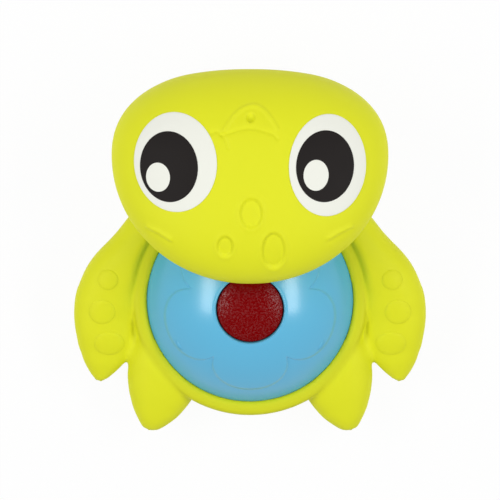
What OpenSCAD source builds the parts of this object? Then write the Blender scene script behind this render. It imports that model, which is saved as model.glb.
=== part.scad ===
// A squeaky turtle bath toy, lying on its back with its belly up.
// Two soft vinyl shells make the head and the body. A hard blue dome snaps into the belly and
// carries a red push button, which presses a bellows squeaker on a tray below the dome.
// Millimetres. +Z is up, +Y runs toward the head, +X is to the right when the belly is looked at.

/* [Body] */
// Outer radius of the round body
body_r = 42.4; // [39:0.2:46]
// Height of the body from its flat back to the crown of the rim
body_h = 26.3; // [25:0.1:30]
// Radius of the flat disc on the back that the toy lies on
back_r = 17; // [12:0.5:22]
// Height at which the body is widest
belt_h = 19; // [17.5:0.1:20.5]
// Thickness of the soft vinyl wall
wall = 2.4; // [1.8:0.1:2.8]
// Width of the green rim that frames the belly
rim_w = 5; // [4.6:0.1:6]
// Depth of the lip that holds the dome, from the rim's crown to its underside
rim_d = 2.7; // [2:0.1:3.4]
// How far the trough between rim and flippers widens over the thickness of a front flipper
trough_w = 5; // [3:0.5:12]

/* [Head] */
// Width of the head
head_w = 98.8; // [92:0.2:106]
// Height of the head from chin to crown
head_h = 74.3; // [70:0.1:80]
// How far the face bulges forward from the head's middle
face_d = 24.5; // [21:0.5:28]
// How far the crown leans back behind the chin
head_lean = 19; // [15:0.5:23]
// How far the chin reaches over the belly, from the top edge of the body
chin_over = 31; // [28:0.2:34]
// Gap in front of the belly under the tip of the chin
chin_gap = 8; // [7:0.1:10]
// Diameter of the air hole in the forehead
vent_d = 1.6; // [0.8:0.1:2]
// Radius of the air passage through the neck
neck_r = 7; // [5:0.1:8]
// Gap of the glued seam between head and body
seam_gap = 0.1; // [0.05:0.01:0.2]

/* [Face] */
// Thickness of one printed layer of the eyes
print_t = 0.22; // [0.15:0.01:0.4]
// Clearance below each printed layer
print_gap = 0.1; // [0.06:0.01:0.2]
// Height of the ring-shaped freckles on the snout
freckle_h = 0.7; // [0.4:0.05:1]
// Radius of the raised lines of the smile and the forehead
ridge_r = 0.75; // [0.5:0.05:1]

/* [Flippers] */
// How far the middle line of a front flipper runs out past the body's side
arm_past = 11.6; // [8:0.1:14]
// Distance of a front flipper's root below the top edge of the body
arm_drop = 16; // [14:0.2:18]
// Length of a front flipper from root to tip along the toy
arm_len = 57.8; // [52:0.2:62]
// Greatest width of a front flipper
arm_w = 24; // [21:0.2:26]
// Greatest thickness of a front flipper
arm_t = 20; // [17:0.2:22]
// How far the tip of a rear flipper stays inside the body's side
leg_in = 7; // [4:0.1:10]
// How far the tip of a rear flipper reaches past the bottom edge of the body
leg_past = 7.2; // [5:0.1:10]
// Greatest width of a rear flipper
leg_w = 26.8; // [24:0.2:29]
// Greatest thickness of a rear flipper
leg_t = 20; // [17:0.2:22]
// Radius of the middle one of the three raised spots on a front flipper
spot_r = 4.4; // [3.6:0.1:5]
// Height of the raised spots
spot_h = 0.9; // [0.5:0.1:1.4]

/* [Belly dome] */
// Rise of the dome above the underside of the lip
dome_rise = 20.4; // [18:0.2:23]
// Thickness of the hard dome
dome_t = 2.2; // [1.8:0.1:2.6]
// Clearance between the dome and the rim round it
dome_gap = 0.2; // [0.1:0.05:0.4]
// Thickness of the flange that snaps under the lip
flange_t = 1.8; // [1.4:0.1:2.2]
// Height of the raised flower on the dome
flower_h = 0.5; // [0.3:0.05:0.8]
// Width of the plain band between the dome's edge and the tips of the petals
petal_in = 5.9; // [4:0.1:8]
// Depth of the notches between the petals
notch_d = 10.2; // [8:0.2:13]
// Number of petals
petals = 5; // [4:1:8]

/* [Button] */
// Radius of the red push button
button_r = 11.9; // [11:0.1:12.4]
// Running clearance between the button and its hole
button_gap = 0.25; // [0.15:0.05:0.4]
// Travel of the button
travel = 3.5; // [2.5:0.1:3.8]
// How far the button's face sits below the dome round it
recess = 0.7; // [0.4:0.1:1.2]
// Thickness of the button's walls
button_t = 1.7; // [1.4:0.1:2]
// Depth of the guide collar below the dome's crown
collar_d = 11; // [10:0.1:11.6]
// Wall of the guide collar
collar_t = 1.8; // [1.4:0.1:2.2]
// Thickness of the button's stop flange
stop_t = 1.4; // [1.2:0.1:1.8]
// Radius of the button's presser stem
stem_r = 4; // [3:0.1:5]
// Length of the presser stem below the stop flange
stem_len = 4.1; // [3.6:0.1:4.6]

/* [Squeaker] */
// Height of the bellows above its tray
bellows_h = 14; // [13:0.1:15]
// Outer radius of the bellows
bellows_r = 11; // [10:0.1:12]
// Depth of each fold of the bellows
fold_d = 2.4; // [1.8:0.1:2.8]
// Number of folds
folds = 3; // [2:1:4]
// Thickness of the bellows' skin
bellows_t = 0.8; // [0.6:0.05:1]
// Inner radius of the bellows' neck
throat_r = 4.8; // [4.2:0.1:5.2]
// Wall of the bellows' neck
throat_t = 0.8; // [0.6:0.05:1]
// Length of the bellows' neck below the top of the tray
throat_len = 5; // [4.4:0.1:5.4]
// Wall of the reed sleeve
sleeve_t = 1.1; // [0.8:0.1:1.3]
// Clearance of each part of the reed in the one round it
reed_gap = 0.05; // [0.03:0.01:0.1]
// Height of the reed sleeve's flange
sleeve_flange_t = 1.2; // [0.8:0.1:1.5]
// Thickness of the vibrating reed
tongue_t = 0.25; // [0.2:0.05:0.4]
// Width of the vibrating reed
tongue_w = 3.2; // [2.6:0.1:3.6]

/* [Squeaker tray] */
// Width of the free space between the tray and the widest part of the hollow
tray_in = 7; // [6:0.1:9]
// Thickness of the tray
tray_t = 2; // [1.6:0.1:2.4]
// Height of the ring that centres the bellows
ring_h = 3; // [2:0.1:3.6]
// Wall of that ring
ring_t = 1.4; // [1:0.1:1.8]
// Clearance between the bellows and that ring
ring_gap = 0.2; // [0.1:0.05:0.3]
// Distance of the screws from the edge of the tray
screw_in = 6; // [5:0.1:7]
// Number of screws
screws = 3; // [3:1:6]
// Radius of a screw's shank
shank_r = 1.2; // [1:0.05:1.4]
// Radius of a screw's head
screw_head_r = 2.8; // [2.4:0.1:3.2]
// Height of a screw's head
screw_head_h = 1.9; // [1.5:0.1:2.3]
// Length of a screw's shank
shank_len = 8; // [6:0.5:10]
// Wall of a screw boss round its pilot hole
boss_t = 2; // [1.6:0.1:2.4]
// Radius of the air holes in the tray
air_r = 3; // [2:0.1:4]

/* [Hidden] */

// Overrun of every cut
over = 1;
// Fineness of turned surfaces
$fn = 72;

lime = "yellowgreen";
blue = "deepskyblue";
red = "firebrick";

// Flipper tips and roots from the middle of the body, and the chin from there
arm_reach = body_r + arm_past;
arm_up = body_r - arm_drop;
leg_out = body_r - leg_in;
leg_reach = body_r + leg_past;
chin_up = body_r - chin_over;

// The toy's length is centred on the origin.
body_y = (leg_reach - chin_up - head_h) / 2;
chin_y = body_y + chin_up;

// Belly levels and radii
lip_z = body_h - rim_d;
rim_in = body_r - rim_w;
cavity_r = body_r - wall;
dome_base_r = rim_in - dome_gap;
dome_top = lip_z + dome_rise;
dome_sphere_r = (pow(dome_base_r, 2) + pow(dome_rise, 2)) / (2 * dome_rise);
dome_mid_z = dome_top - dome_sphere_r;
hole_r = button_r + button_gap;
collar_z = dome_top - collar_d;
petal_r = dome_base_r - petal_in;
notch_r = petal_r - notch_d;

// Squeaker levels
button_top = dome_top - recess;
bellows_top = collar_z - stop_t - stem_len;
tray_z = bellows_top - bellows_h;
throat_z = tray_z - throat_len;
sleeve_r = throat_r - reed_gap;
shallot_r = sleeve_r - sleeve_t - reed_gap;
tray_r = cavity_r - tray_in;
screw_at = tray_r - screw_in;

// Head form. The first table gives the head's back as shares of the chin's height,
// in equal steps from the chin to the crown.
chin_z = dome_top + chin_gap;
widest_share = 0.6;
crown_power = 2.28;
section_power = 2.4;
back_shares = [1, 0.85, 0.8, 0.765, 0.723, 0.665, 0.605, 0.562, 0.522, 0.385, 0.16, 0.055,
               0.015, 0, 0.004, 0.02, 0.06, 0.115, 0.19, 0.33, 0.635];
hollow_shares = [0.08, 0.94];

// Each row places one oval on the face: sideways as a share of half the head's width, up as a
// share of its height, then its half-width and half-height as shares of the same two sizes.
eye_shares = [[-0.534, 0.605, 0.298, 0.229], [0.555, 0.59, 0.277, 0.235]];
pupil_shares = [[-0.58, 0.586, 0.208, 0.164], [0.537, 0.589, 0.208, 0.166]];
glint_shares = [[-0.658, 0.537, 0.086, 0.068], [0.472, 0.551, 0.09, 0.072]];
freckle_shares = [[0.009, 0.373, 0.106, 0.094], [-0.178, 0.211, 0.074, 0.064],
                  [0.169, 0.188, 0.11, 0.118]];
// Height of a freckle from its middle to its edge: a crown, a ring groove and a rounded border
freckle_profile_shares = [0.45, 0.45, 0.43, 0.4, 0.05, 0.48, 0];

// Each row is a raised line on the face by its two ends and its middle.
smile_shares = [[[-0.732, 0.293], [-0.652, 0.271], [-0.573, 0.24]],
                [[0.724, 0.294], [0.645, 0.274], [0.566, 0.245]]];
scale_shares = [[[-0.186, 0.756], [0.012, 0.866], [0.191, 0.768]],
                [[-0.209, 0.74], [0.01, 0.768], [0.196, 0.721]],
                [[-0.28, 0.746], [-0.205, 0.738], [-0.161, 0.682]]];
vent_share = 0.814;

// Rows from root to tip: out, along, half-width, height of the middle, half-thickness,
// as shares of the reach, the length, half the width, the body's height and half the thickness.
arm_shares = [[0.398, -0.128, 0.6, 0.6, 0.5], [0.556, 0, 1, 0.66, 0.88],
              [0.737, 0.192, 1, 0.67, 1], [0.894, 0.325, 0.917, 0.67, 0.96],
              [0.942, 0.454, 1.01, 0.66, 0.9], [0.965, 0.571, 0.984, 0.64, 0.82],
              [0.969, 0.709, 0.897, 0.62, 0.73], [0.978, 0.8, 0.789, 0.6, 0.63],
              [0.992, 0.875, 0.608, 0.58, 0.57], [1.002, 0.937, 0.4, 0.56, 0.46],
              [1.007, 0.98, 0.212, 0.55, 0.35], [1.007, 1, 0.04, 0.54, 0.14]];
leg_shares = [[0.819, 0.33, 1, 0.62, 1], [0.856, 0.517, 1.058, 0.61, 0.95],
              [0.9, 0.638, 0.977, 0.6, 0.88], [0.936, 0.739, 0.853, 0.59, 0.8],
              [0.962, 0.81, 0.731, 0.58, 0.72], [0.986, 0.871, 0.601, 0.57, 0.65],
              [1.01, 0.931, 0.423, 0.56, 0.55], [1.029, 0.978, 0.254, 0.55, 0.41],
              [1.037, 1, 0.038, 0.54, 0.15]];
limb_power = 2.4;
// Where the hollow of a limb begins and ends, from its root to its tip
limb_hollow_shares = [0.06, 0.74];
// Spots on a front flipper: out, along, and half-width and half-height as shares of spot_r,
// then the place of each along the flipper, from root to tip.
spot_shares = [[0.95, 0.318, 0.88, 0.86], [0.991, 0.527, 1.13, 1.07], [0.945, 0.736, 1.3, 1.04]];
spot_course_shares = [0.273, 0.423, 0.573];

// Rows of the neck toward the head: place from the middle of the body and half-width, as shares
// of body_r, then the upper side as a share of lip_z and the lower side as a share of belt_h.
neck_shares = [[0.5, 0.66, 0.85, 0.5], [0.82, 0.72, 0.9, 0.3], [1.05, 0.7, 0.93, 0.22],
               [1.26, 0.73, 1, 0.17], [1.5, 0.8, 1.08, 0.1]];
// Inner ends of the shoulders: out and along as shares of body_r, then height and radius as
// shares of lip_z.
shoulder_shares = [0.53, 0.93, 0.6, 0.29];
// Webs between the roots of the flippers: out and along as shares of body_r for their two ends,
// then height and radius as shares of lip_z.
web_shares = [[0.95, 0.21], [0.985, 0.48], [0.73, 0.14]];

function power(c, e) = sign(c) * pow(abs(c), e);

// A smooth curve through the rows of a table, u counted in rows
function spline(t, u) =
    let (n = len(t) - 1, i = min(floor(u), n - 1), f = u - i,
         a = t[max(i - 1, 0)], b = t[i], c = t[i + 1], d = t[min(i + 2, n)])
    b + f * (c - a) / 2 + f * f * (a - 2.5 * b + 2 * c - d / 2) + f * f * f * (1.5 * (b - c) + (d - a) / 2);

// The closed surface through rings of points, each ring lying in a plane
module loft(rings) {
    n = len(rings[0]);
    m = len(rings);
    polyhedron(
        points = [for (ring = rings) each ring],
        faces = concat(
            [[for (i = [n - 1:-1:0]) i]],
            [for (j = [0:m - 2], i = [0:n - 1]) each
                [[j * n + i, j * n + (i + 1) % n, (j + 1) * n + (i + 1) % n],
                 [j * n + i, (j + 1) * n + (i + 1) % n, (j + 1) * n + i]]],
            [[for (i = [0:n - 1]) (m - 1) * n + i]]));
}

// The head's half-width as a share of its greatest, by the share of the way from chin to crown
function head_width(s) =
    s < widest_share
        ? sqrt(max(0, 1 - pow((widest_share - s) / widest_share, 2)))
        : pow(max(0, 1 - pow((s - widest_share) / (1 - widest_share), crown_power)), 1 / crown_power);

function spine_z(s) = chin_z - head_lean * s;

function back_z(s) = max(0, chin_z * spline(back_shares, s * (len(back_shares) - 1)));

// One cross-section of the head, grown by a gap or drawn in by a wall
function head_ring(s, grow, n) =
    let (w = head_width(s) * head_w / 2 + grow,
         front = head_width(s) * face_d + grow,
         back = spine_z(s) - back_z(s) + grow)
    [for (i = [0:n - 1]) let (a = 360 * i / n)
        [w * power(cos(a), 2 / section_power),
         chin_y + s * head_h,
         spine_z(s) + (sin(a) > 0 ? front : back) * power(sin(a), 2 / section_power)]];

// Rings lie closer together toward both ends, where the head turns fastest.
function head_steps(from, to, n) = [for (i = [0:n]) from + (to - from) * (1 - cos(180 * i / n)) / 2];

module head_form(grow = 0, from = 0.0004, to = 0.9994, rings = 26, n = 44) {
    loft([for (s = head_steps(from, to, rings)) head_ring(s, grow, n)]);
}

// The front of the face above a place on it
function face_z(x, y) =
    let (s = (y - chin_y) / head_h, t = min(1, abs(x) / (head_width(s) * head_w / 2)))
    spine_z(s) + face_d * head_width(s) * pow(1 - pow(t, section_power), 1 / section_power);

function face_place(row) = [row[0] * head_w / 2, chin_y + row[1] * head_h];

// A thin oval that follows the face, from low to high above it
module face_oval(row, low, high, rings, n) {
    at = face_place(row);
    count = rings * n + 1;
    function place(k, i) =
        let (r = k / rings, a = 360 * i / n)
        [at[0] + r * row[2] * head_w / 2 * cos(a), at[1] + r * row[3] * head_h * sin(a)];
    function layer(lift) =
        concat([[at[0], at[1], face_z(at[0], at[1]) + lift[0]]],
               [for (k = [1:rings], i = [0:n - 1]) let (p = place(k, i))
                   [p[0], p[1], face_z(p[0], p[1]) + lift[k]]]);
    function at_ring(k, i) = 1 + (k - 1) * n + i % n;
    polyhedron(
        points = concat(layer(high), layer(low)),
        faces = concat(
            [for (i = [0:n - 1]) each
                [[0, at_ring(1, i + 1), at_ring(1, i)],
                 [count, count + at_ring(1, i), count + at_ring(1, i + 1)],
                 [at_ring(rings, i), at_ring(rings, i + 1), count + at_ring(rings, i + 1)],
                 [at_ring(rings, i), count + at_ring(rings, i + 1), count + at_ring(rings, i)]]],
            rings < 2 ? [] :
            [for (k = [1:rings - 1], i = [0:n - 1]) each
                [[at_ring(k, i), at_ring(k, i + 1), at_ring(k + 1, i + 1)],
                 [at_ring(k, i), at_ring(k + 1, i + 1), at_ring(k + 1, i)],
                 [count + at_ring(k, i), count + at_ring(k + 1, i + 1), count + at_ring(k, i + 1)],
                 [count + at_ring(k, i), count + at_ring(k + 1, i), count + at_ring(k + 1, i + 1)]]]));
}

module eye_print(rows, layer, rings, n) {
    low = print_gap + layer * (print_t + print_gap);
    for (row = rows)
        face_oval(row, [for (k = [0:rings]) low], [for (k = [0:rings]) low + print_t], rings, n);
}

module freckle(row) {
    rings = len(freckle_profile_shares) - 1;
    low = [for (k = [0:rings]) -wall / 2];
    high = [for (h = freckle_profile_shares) h * freckle_h - wall / 16];
    face_oval(row, low, high, rings, 18);
}

// A raised line over the face, bent through its middle place
module face_ridge(row, r, parts) {
    ends = [for (p = row) face_place(p)];
    pull = 2 * ends[1] - (ends[0] + ends[2]) / 2;
    function along(f) =
        let (p = (1 - f) * (1 - f) * ends[0] + 2 * f * (1 - f) * pull + f * f * ends[2])
        [p[0], p[1], face_z(p[0], p[1]) - r / 3];
    for (i = [0:parts - 1])
        hull() {
            translate(along(i / parts)) sphere(r, $fn = 8);
            translate(along((i + 1) / parts)) sphere(r, $fn = 8);
        }
}

// The air passage that joins the hollows of head and body
module neck_passage() {
    translate([0, body_y + body_r - 4 * wall, lip_z - 1.5 * wall - neck_r])
        rotate([-90, 0, 0])
            cylinder(r = neck_r, h = 9 * wall, $fn = 24);
}

module head_shell() {
    color(lime)
        difference() {
            union() {
                head_form();
                for (row = freckle_shares)
                    freckle(row);
                for (row = smile_shares)
                    face_ridge(row, ridge_r, 3);
                for (row = scale_shares)
                    face_ridge(row, ridge_r, 4);
            }
            head_form(-wall, hollow_shares[0], hollow_shares[1], 12, 22);
            neck_passage();
            translate([0, chin_y + vent_share * head_h, spine_z(vent_share)])
                cylinder(d = vent_d, h = face_d + over, $fn = 12);
        }
}

// One cross-section of a limb, square to its course
function limb_ring(rows, u, inset, size, n) =
    let (p = spline(rows, u), e = 0.05,
         q0 = spline(rows, max(0, u - e)), q1 = spline(rows, min(len(rows) - 1, u + e)),
         t = [(q1[0] - q0[0]) * size[0], (q1[1] - q0[1]) * size[1]], d = norm(t),
         side = [t[1] / d, -t[0] / d],
         w = p[2] * size[2] - inset, h = p[4] * size[4] - inset)
    [for (i = [0:n - 1]) let (a = 360 * i / n, c = w * power(cos(a), 2 / limb_power))
        [p[0] * size[0] + side[0] * c, p[1] * size[1] + side[1] * c,
         p[3] * size[3] + h * power(sin(a), 2 / limb_power)]];

module limb(rows, size, inset, span, rings, n) {
    last = len(rows) - 1;
    loft([for (i = [0:rings])
        limb_ring(rows, last * (span[0] + (span[1] - span[0]) * i / rings), inset, size, n)]);
}

arm_size = [arm_reach, -arm_len, arm_w / 2, body_h, arm_t / 2];
leg_size = [leg_out, -leg_reach, leg_w / 2, body_h, leg_t / 2];

// Both limbs of a pair
module pair(rows, size, root_y, inset, span, rings, n) {
    for (side = [0, 1])
        mirror([side, 0, 0])
            translate([0, root_y, 0])
                limb(rows, size, inset, span, rings, n);
}

module arms(inset = 0, span = [0, 1], rings = 16, n = 18) {
    pair(arm_shares, arm_size, body_y + arm_up, inset, span, rings, n);
}

module legs(inset = 0, span = [0, 1], rings = 14, n = 18) {
    pair(leg_shares, leg_size, body_y, inset, span, rings, n);
}

// Three raised spots on each front flipper
module spots() {
    for (side = [-1, 1])
        for (i = [0:2]) {
            spot = spot_shares[i];
            course = spline(arm_shares, spot_course_shares[i] * (len(arm_shares) - 1));
            off = (spot[0] - course[0]) * arm_reach / (course[2] * arm_w / 2);
            top = course[3] * body_h
                + course[4] * arm_t / 2 * pow(1 - pow(min(0.9, abs(off)), limb_power), 1 / limb_power);
            translate([side * spot[0] * arm_reach, body_y + arm_up - spot[1] * arm_len, top])
                scale([spot[2], spot[3], 1])
                    hull() {
                        post(spot_r, -wall * 4 / 5, spot_h / 2, 16);
                        post(spot_r - spot_h, 0, spot_h, 16);
                    }
        }
}

// The quarter arc of the body's side, drawn in by an inset
function side_arc(inset, n) =
    [for (i = [0:n]) let (a = -90 + 90 * i / n)
        [back_r + (body_r - back_r - inset) * cos(a), belt_h + (belt_h - inset) * sin(a)]];

// The rounded crown of the rim, from its outer side to its inner edge
function rim_arc(n) =
    let (low = lip_z - rim_d / 2, half = rim_w / 2)
    [for (i = [0:n]) let (a = 150 * i / n)
        [body_r - half + half * power(cos(a), 0.8), low + (body_h - low) * power(sin(a), 0.8)]];

module body_form() {
    rim = rim_arc(8);
    lip_top = rim[8][1];
    translate([0, body_y, 0])
        rotate_extrude()
            polygon(concat([[0, 0]], side_arc(0, 8), rim, [[rim_in, lip_top], [0, lip_top]]));
}

// The hollow of the body with its mouth at the belly
module body_hollow() {
    translate([0, body_y, 0])
        rotate_extrude()
            polygon(concat([[0, wall]], side_arc(wall, 6),
                           [[cavity_r, lip_z], [rim_in, lip_z], [rim_in, dome_top], [0, dome_top]]));
}

// The short waisted neck behind the rim that carries the head
module neck() {
    last = len(neck_shares) - 1;
    loft([for (i = [0:2 * last])
        let (row = spline(neck_shares, i / 2), low = row[3] * belt_h, high = row[2] * lip_z)
        [for (k = [0:21]) let (a = 360 * k / 22)
            [row[1] * body_r * power(cos(a), 2 / limb_power),
             body_y + row[0] * body_r,
             (high + low) / 2 + (high - low) / 2 * power(sin(a), 2 / limb_power)]]]);
}

module body_shell() {
    color(lime)
        difference() {
            union() {
                body_form();
                neck();
                difference() {
                    union() {
                        arms();
                        legs();
                        spots();
                        shoulders();
                        webs();
                    }
                    rim_trough();
                }
            }
            body_hollow();
            difference() {
                union() {
                    arms(wall, limb_hollow_shares, 7, 10);
                    legs(wall, limb_hollow_shares, 6, 10);
                }
                translate([0, body_y, lip_z - wall]) cylinder(r = body_r + wall, h = body_h);
                rim_trough(1.4 * wall);
            }
            head_form(seam_gap);
            neck_passage();
        }
}

// What is kept free of the flippers, so that the rim runs all round: a flared trough outside it
module rim_trough(grow = 0) {
    low_r = body_r - rim_w / 4 + grow;
    translate([0, body_y, lip_z + rim_d / 3])
        cylinder(r1 = low_r, r2 = low_r + trough_w, h = arm_t);
}

// Thin webs that close the slits between the body and the roots of its flippers
module webs() {
    for (side = [-1, 1])
        hull()
            for (end = [0, 1])
                translate([side * web_shares[end][0] * body_r,
                           body_y - web_shares[end][1] * body_r,
                           web_shares[2][0] * lip_z])
                    sphere(web_shares[2][1] * lip_z, $fn = 10);
}

// Soft fillets between the neck and the roots of the front flippers
module shoulders() {
    root = spline(arm_shares, 1);
    for (side = [-1, 1])
        hull() {
            translate([side * shoulder_shares[0] * body_r,
                       body_y + shoulder_shares[1] * body_r,
                       shoulder_shares[2] * lip_z])
                sphere(shoulder_shares[3] * lip_z, $fn = 14);
            translate([side * root[0] * arm_reach, body_y + arm_up, root[3] * body_h])
                sphere(arm_t / 2 - wall, $fn = 14);
        }
}

module eye_whites() {
    color("ivory") eye_print(eye_shares, 0, 4, 26);
}

module eye_pupils() {
    color("black") eye_print(pupil_shares, 1, 3, 22);
}

module eye_glints() {
    color("white") eye_print(glint_shares, 2, 1, 16);
}

// The outline of the flower: broad round petals, one of them toward the feet
function flower_outline(n) =
    [for (p = [0:petals - 1], i = [0:n - 1]) let (f = 2 * i / n - 1, a = -90 + 360 / petals * (p + f / 2),
        r = notch_r + (petal_r - notch_r) * pow(1 - pow(abs(f), 2.4), 0.62))
        r * [cos(a), sin(a)]];

// What follows in a ring round the middle of the belly, once for each screw
module at_screws() {
    for (i = [0:screws - 1])
        rotate(90 + 360 / screws * i)
            translate([screw_at, 0, 0])
                children();
}

// A round cut or post between two levels
module post(r, from, to, fine = 24) {
    translate([0, 0, from]) cylinder(r = r, h = to - from, $fn = fine);
}

module dome_ball(grow) {
    translate([0, 0, dome_mid_z]) sphere(dome_sphere_r + grow, $fn = 96);
}

module belly_dome() {
    boss_r = shank_r + boss_t;
    flange_z = lip_z - flange_t;
    color(blue)
        translate([0, body_y, 0])
            difference() {
                union() {
                    intersection() {
                        dome_ball(0);
                        post(dome_base_r, flange_z, dome_top + over, 96);
                    }
                    // raised flower
                    intersection() {
                        dome_ball(flower_h);
                        translate([0, 0, lip_z + flange_t])
                            linear_extrude(dome_rise) polygon(flower_outline(12));
                    }
                    // flange under the lip
                    post(cavity_r - dome_gap, flange_z, lip_z, 96);
                    // screw bosses down to the tray
                    at_screws() post(boss_r, tray_z, lip_z);
                }
                // hollow, with the collar and the tops of the bosses left standing in it
                difference() {
                    intersection() {
                        dome_ball(-dome_t);
                        post(dome_base_r - dome_t, flange_z - over, dome_top, 96);
                    }
                    post(hole_r + collar_t, collar_z, dome_top, $fn);
                    at_screws() post(boss_r, tray_z - over, dome_top);
                }
                post(hole_r, collar_z - over, dome_top + over, $fn);
                at_screws() post(shank_r, tray_z - over, tray_z - tray_t + shank_len + over);
            }
}

// A domed cap with a hollow skirt, a stop flange below the collar and a presser in its middle
module belly_button() {
    inner_r = button_r - button_t;
    stop_r = hole_r + collar_t;
    edge = button_t / 2;
    face_r = button_r - edge;
    ceiling = button_top - button_t - recess;
    stop_z = collar_z - stop_t;
    color(red)
        translate([0, body_y, 0])
            rotate_extrude()
                polygon(concat(
                    [[0, bellows_top], [stem_r, bellows_top], [stem_r, ceiling]],
                    [[inner_r, ceiling - recess], [inner_r, stop_z], [stop_r, stop_z]],
                    [[stop_r, collar_z], [button_r, collar_z]],
                    [for (a = [0:15:90]) [face_r + edge * cos(a), button_top - 2 * recess + recess * sin(a)]],
                    [for (i = [1:4]) let (f = 1 - i / 4) [face_r * f, button_top - recess * f * f]]));
}

// Zigzag folds between two flat ends, open at the bottom through a neck
module squeaker_bellows() {
    low = tray_z + 2 * bellows_t;
    pitch = (bellows_top - 2 * bellows_t - low) / (2 * folds);
    skin = bellows_t * norm([fold_d, pitch]) / pitch;
    valley = bellows_r - fold_d;
    bore_r = valley - skin;
    throat_out = throat_r + throat_t;
    folded = [for (i = [0:2 * folds]) [i % 2 == 0 ? valley : bellows_r, low + i * pitch]];
    color("silver")
        translate([0, body_y, 0])
            rotate_extrude()
                polygon(concat(
                    [[throat_out, throat_z], [throat_out, tray_z], [valley, tray_z]],
                    folded,
                    [[valley, bellows_top], [0, bellows_top], [0, bellows_top - bellows_t]],
                    [[bore_r, bellows_top - bellows_t]],
                    [for (i = [2 * folds:-1:0]) folded[i] - [skin, 0]],
                    [[bore_r, tray_z + bellows_t], [throat_r, tray_z + bellows_t], [throat_r, throat_z]]));
}

module reed_sleeve() {
    inner_r = shallot_r + reed_gap;
    flange_r = throat_r + 2 * throat_t;
    low = throat_z - sleeve_flange_t;
    top = tray_z - reed_gap;
    color("white")
        translate([0, body_y, 0])
            rotate_extrude($fn = 48)
                polygon([[inner_r, low], [flange_r, low], [flange_r, throat_z],
                         [sleeve_r, throat_z], [sleeve_r, top], [inner_r, top]]);
}

// The half-round reed seat with its sound channel
module reed_shallot() {
    len = throat_len + sleeve_flange_t - 2 * reed_gap;
    wide = shallot_r + over;
    color("gainsboro")
        translate([0, body_y, throat_z - sleeve_flange_t])
            difference() {
                cylinder(r = shallot_r, h = len, $fn = 48);
                translate([-wide, 0, sleeve_flange_t])
                    cube([2 * wide, wide, len]);
                translate([-tongue_w / 4, -shallot_r / 2, -over])
                    cube([tongue_w / 2, shallot_r / 2 + over, len - sleeve_flange_t / 2 + over]);
            }
}

module reed_tongue() {
    color("gold")
        translate([-tongue_w / 2, body_y, throat_z + reed_gap])
            cube([tongue_w, tongue_t, throat_len - 4 * reed_gap]);
}

// The disc that carries the bellows, with a ring round them and air holes outside it
module squeaker_tray() {
    low = tray_z - tray_t;
    ring_r = bellows_r + ring_gap;
    ring_out = ring_r + ring_t;
    color("whitesmoke")
        translate([0, body_y, 0])
            difference() {
                union() {
                    post(tray_r, low, tray_z, $fn);
                    post(ring_out, low, tray_z + ring_h, $fn);
                }
                post(ring_r, tray_z, tray_z + ring_h + over, $fn);
                post(throat_r + throat_t + ring_gap, low - over, tray_z + over, $fn);
                at_screws() post(shank_r + ring_gap, low - over, tray_z + over);
                for (i = [0:screws - 1])
                    rotate(90 + 360 / screws * (i + 0.5))
                        translate([(ring_out + tray_r) / 2, 0, 0])
                            post(air_r, low - over, tray_z + over);
            }
}

// Pan-head screws with a cross recess, driven up through the tray
module tray_screws() {
    seat = tray_z - tray_t;
    low = seat - screw_head_h;
    slot = screw_head_r / 2;
    color("lightsteelblue")
        translate([0, body_y, 0])
            at_screws()
                difference() {
                    union() {
                        post(screw_head_r, low, seat, 32);
                        post(shank_r - reed_gap, low, seat + shank_len);
                    }
                    for (a = [0, 90])
                        rotate(a)
                            translate([-slot, -shank_r / 4, low - over])
                                cube([2 * slot, shank_r / 2, over + screw_head_h / 2]);
                }
}

head_shell();
body_shell();
eye_whites();
eye_pupils();
eye_glints();
belly_dome();
belly_button();
squeaker_bellows();
reed_sleeve();
reed_shallot();
reed_tongue();
squeaker_tray();
tray_screws();
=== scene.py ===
import math
import bpy
import numpy as np
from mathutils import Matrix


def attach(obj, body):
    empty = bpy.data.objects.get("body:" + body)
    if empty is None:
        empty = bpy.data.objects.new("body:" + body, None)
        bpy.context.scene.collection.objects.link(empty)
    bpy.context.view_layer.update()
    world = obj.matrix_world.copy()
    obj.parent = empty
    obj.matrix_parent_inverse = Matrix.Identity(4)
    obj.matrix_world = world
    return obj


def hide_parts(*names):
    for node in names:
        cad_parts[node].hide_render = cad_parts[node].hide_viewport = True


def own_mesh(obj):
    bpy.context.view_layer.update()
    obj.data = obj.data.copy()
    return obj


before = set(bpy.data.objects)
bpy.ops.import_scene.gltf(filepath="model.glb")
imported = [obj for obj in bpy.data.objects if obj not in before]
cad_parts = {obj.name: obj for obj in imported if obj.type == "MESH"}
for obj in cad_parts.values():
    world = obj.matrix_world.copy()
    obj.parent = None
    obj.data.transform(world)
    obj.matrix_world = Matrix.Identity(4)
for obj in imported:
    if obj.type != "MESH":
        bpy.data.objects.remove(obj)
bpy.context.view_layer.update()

# Camera
# A product photo from 2 m with a long lens. The toy lies on its back and the camera looks
# almost straight down on its belly, leaning a few degrees toward the head.
lens = bpy.data.cameras.new("camera")
lens.lens = 400.0
lens.sensor_width = 36.0
lens.clip_start = 0.1
camera = bpy.data.objects.new("camera", lens)
bpy.context.scene.collection.objects.link(camera)
lean = math.radians(10.0)
stand_off = 2.0
aim_y, aim_z = 0.0014, 0.030
camera.location = (0.0, aim_y + stand_off * math.sin(lean), aim_z + stand_off * math.cos(lean))
camera.rotation_euler = (-lean, 0.0, 0.0)
bpy.context.scene.camera = camera
bpy.context.scene.view_settings.view_transform = "Standard"


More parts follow.
